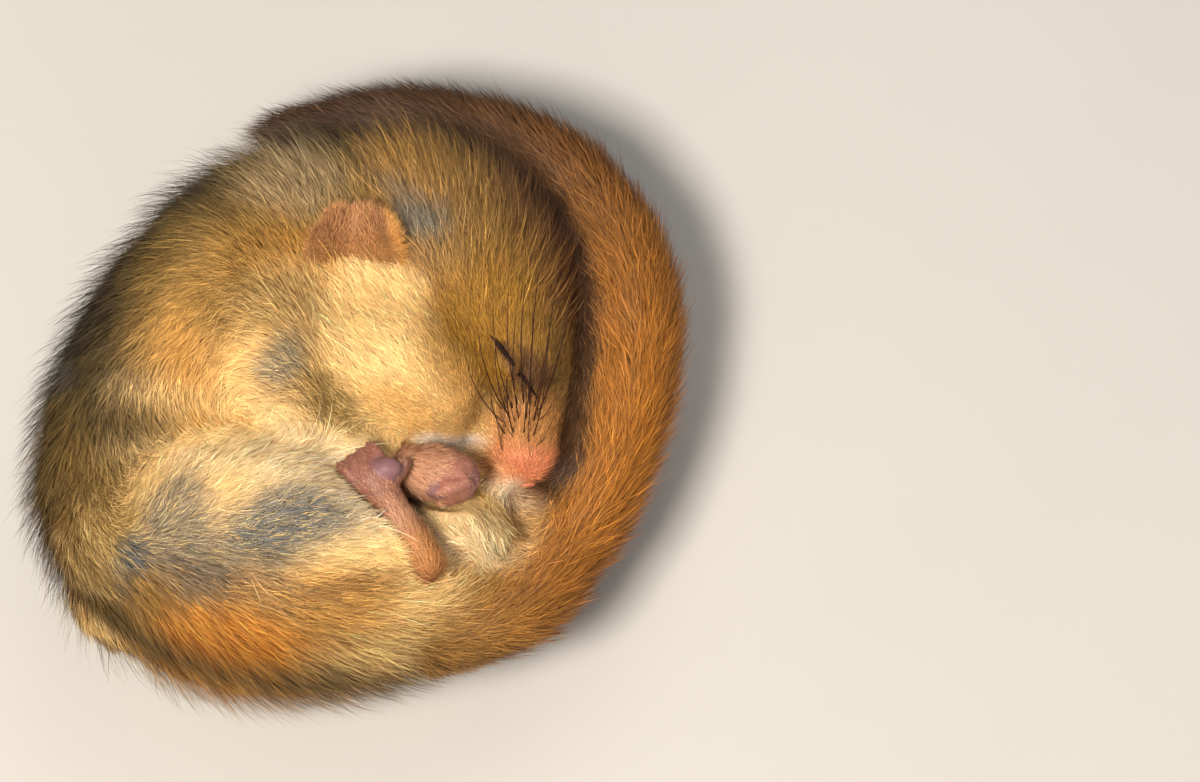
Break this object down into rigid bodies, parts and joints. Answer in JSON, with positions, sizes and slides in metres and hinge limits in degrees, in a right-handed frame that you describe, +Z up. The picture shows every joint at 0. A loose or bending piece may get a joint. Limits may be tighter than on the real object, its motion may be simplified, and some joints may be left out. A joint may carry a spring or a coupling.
{
  "type": "hazel dormouse model",
  "caption": "Life-size still model of a hazel dormouse asleep, curled up on its side with its tail wrapped over its head.",
  "frame": {"origin": "middle of the model's box, on the surface that it lies on", "axes": "+Z up from the surface to the animal's right flank, +X from the curved back towards the head and the bend of the tail, +Y towards the nape"},
  "size_m": [0.0544, 0.0556, 0.0312],
  "materials": {
    "fur_back": "soft short fur, matt, with a faint silky sheen",
    "fur_head": "soft short fur, matt",
    "fur_cream": "soft pale fur, matt",
    "fur_tail": "bushy tail hair, matt, with a silky sheen",
    "bare_skin": "thin bare skin, satin",
    "ear_skin": "thinly haired skin, matt",
    "eyelid": "dark bare skin, satin",
    "nose_pad": "moist bare skin, satin"
  },
  "bodies": {
    "root": {"head": "fur_head", "neck": "fur_back", "torso_chest": "fur_back", "torso_loin": "fur_back", "torso_rump": "fur_back", "torso_belly": "fur_cream", "upper_arm_right": "fur_back", "upper_arm_left": "fur_back", "forearm_right": "fur_cream", "forearm_left": "fur_cream", "hand_right": "bare_skin", "hand_left": "bare_skin", "thigh_right": "fur_back", "thigh_left": "fur_back", "shank_right": "fur_cream", "shank_left": "fur_cream", "foot_right": "bare_skin", "foot_left": "bare_skin", "tail_1": "fur_tail", "tail_2": "fur_tail", "tail_3": "fur_tail", "tail_4": "fur_tail", "tail_5": "fur_tail", "nose": "nose_pad", "lids_right": "eyelid", "lids_left": "eyelid", "ear_right": "ear_skin", "ear_left": "ear_skin"}
  },
  "joints": []
}
